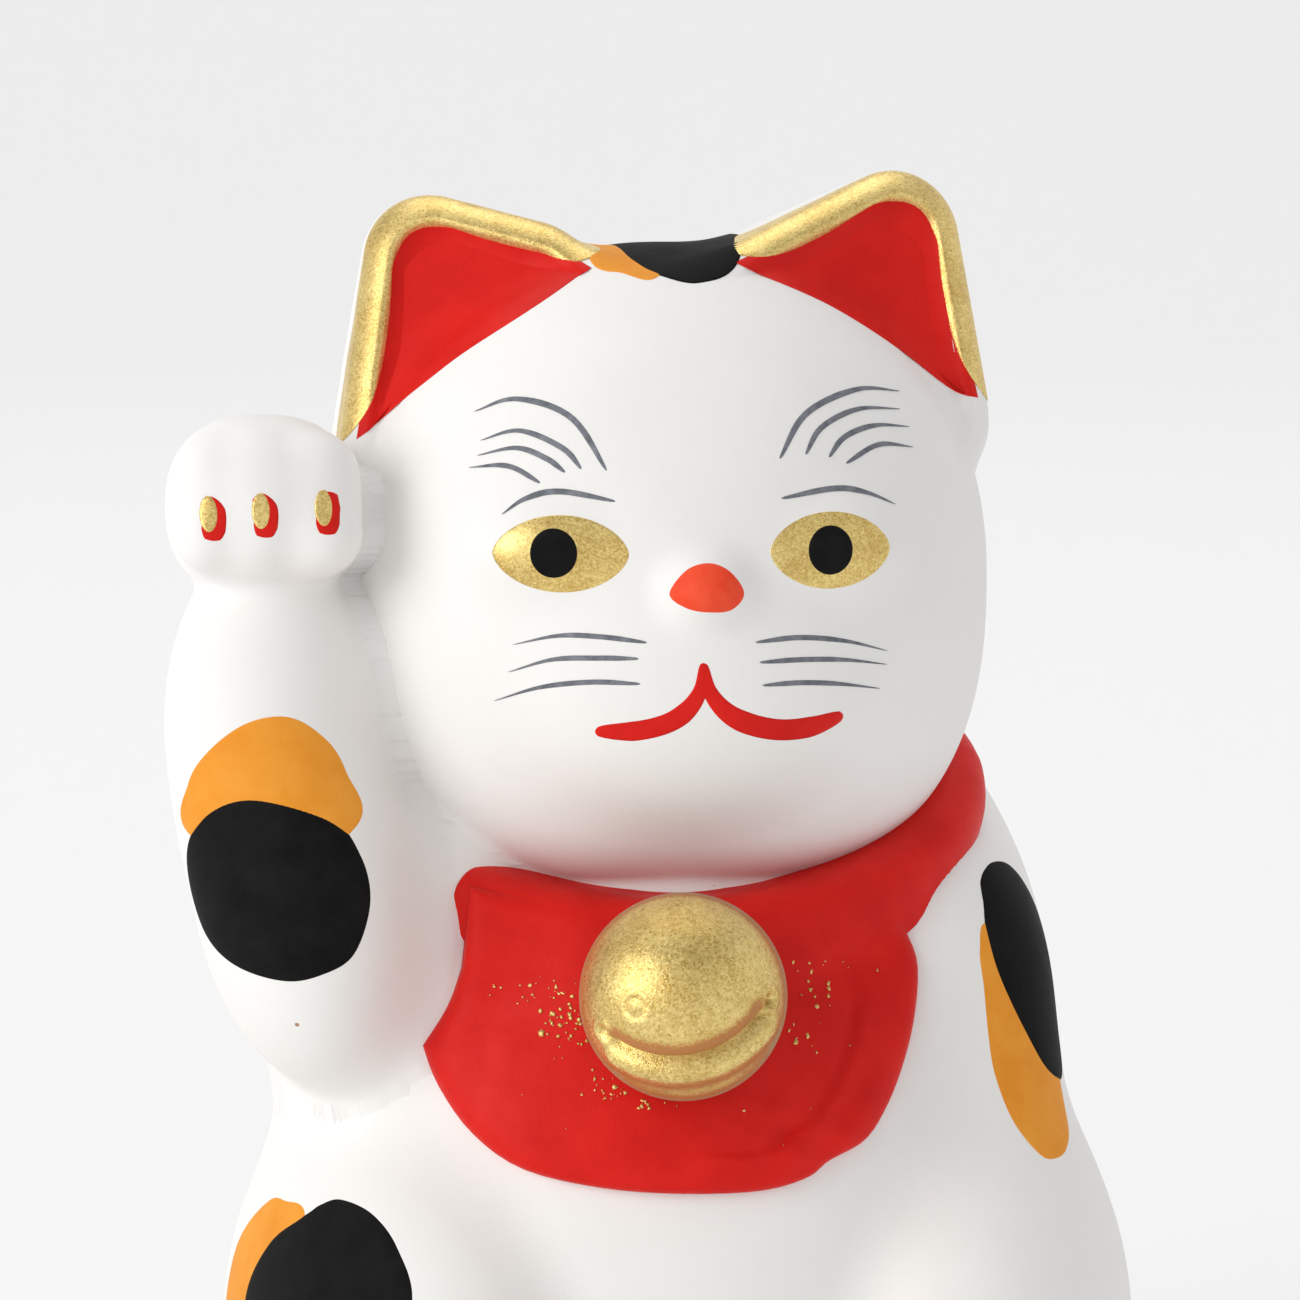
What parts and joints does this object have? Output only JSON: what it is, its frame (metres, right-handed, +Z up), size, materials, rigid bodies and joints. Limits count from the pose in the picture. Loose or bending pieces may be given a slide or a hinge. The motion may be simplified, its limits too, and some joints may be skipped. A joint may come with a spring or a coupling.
{
  "type": "beckoning cat figurine",
  "caption": "Seated hollow clay cat with one raised paw, a bib, a collar and a round bell; a painted lucky ornament that stands on a shelf.",
  "frame": {"origin": "middle of the flat face that the figurine rests on", "axes": "+Z up, +X to the figure's left hand side as seen from the front (viewer's right), the figure faces -Y"},
  "size_m": [0.0973, 0.0871, 0.1378],
  "materials": {
    "white_ground": "matte shell-white ground over fired clay",
    "bare_clay": "bare fired clay",
    "red_paint": "matte red paint",
    "gold_paint": "metallic gold paint",
    "black_paint": "matte black paint",
    "orange_paint": "matte orange ochre paint",
    "grey_paint": "thin grey brush strokes",
    "vermilion_paint": "matte vermilion paint"
  },
  "bodies": {
    "root": {"front_shell": "white_ground", "back_shell": "white_ground", "base_slab": "bare_clay", "beckoning_arm": "white_ground", "bib": "red_paint", "collar": "red_paint", "bell": "gold_paint", "tail": "black_paint"}
  },
  "joints": []
}
